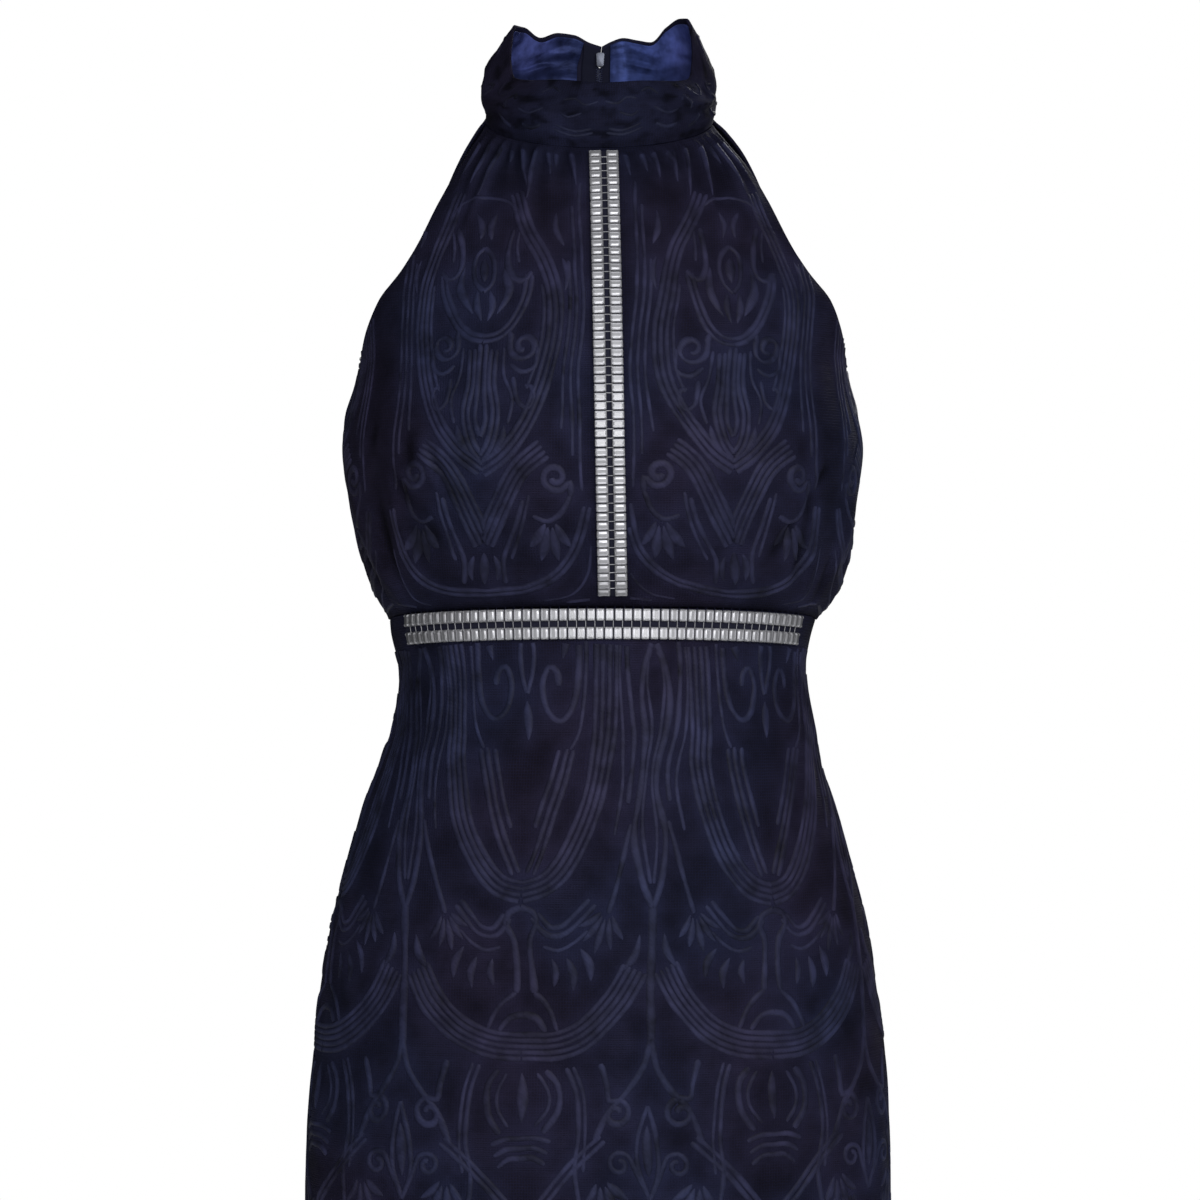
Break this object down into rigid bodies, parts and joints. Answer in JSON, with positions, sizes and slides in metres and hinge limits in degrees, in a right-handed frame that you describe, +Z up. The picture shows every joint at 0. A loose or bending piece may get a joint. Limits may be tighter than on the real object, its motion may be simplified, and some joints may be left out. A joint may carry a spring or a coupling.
{
  "type": "cocktail dress",
  "caption": "Sleeveless knee-length halter-neck cocktail dress in navy corded lace with stone trims, worn form, zip at the back.",
  "frame": {"origin": "middle of the seam that joins the collar to the bodice, level with the two sides of that seam, where the halter goes round the wearer's neck", "axes": "+Z up, the dress's front towards -Y, the wearer's left towards +X"},
  "size_m": [0.3532, 0.2648, 0.9214],
  "materials": {
    "lace": "navy cord embroidered in scrolls on navy mesh over a lining",
    "satin": "smooth shiny navy satin",
    "stones": "clear rectangular stones in silver-coloured settings",
    "tape": "woven zip tape",
    "zip_metal": "pale lacquered metal"
  },
  "bodies": {
    "dress": {"bodice_front": "lace", "bodice_back_left": "lace", "bodice_back_right": "lace", "collar": "lace", "collar_facing": "satin", "skirt_front": "lace", "skirt_back_left": "lace", "skirt_back_right": "lace", "front_trim": "stones", "waist_trim": "stones", "zip_tape_left": "tape", "zip_tape_right": "tape", "zip_slider": "zip_metal"},
    "pull_tab": {"zip_pull": "zip_metal"}
  },
  "joints": [
    {"name": "pull_swing", "type": "hinge", "parent": "dress", "child": "pull_tab", "pos_m": [0.00077, 0.06013, 0.04242], "axis": [1, 0, 0], "range_deg": [-4, 160]}
  ]
}
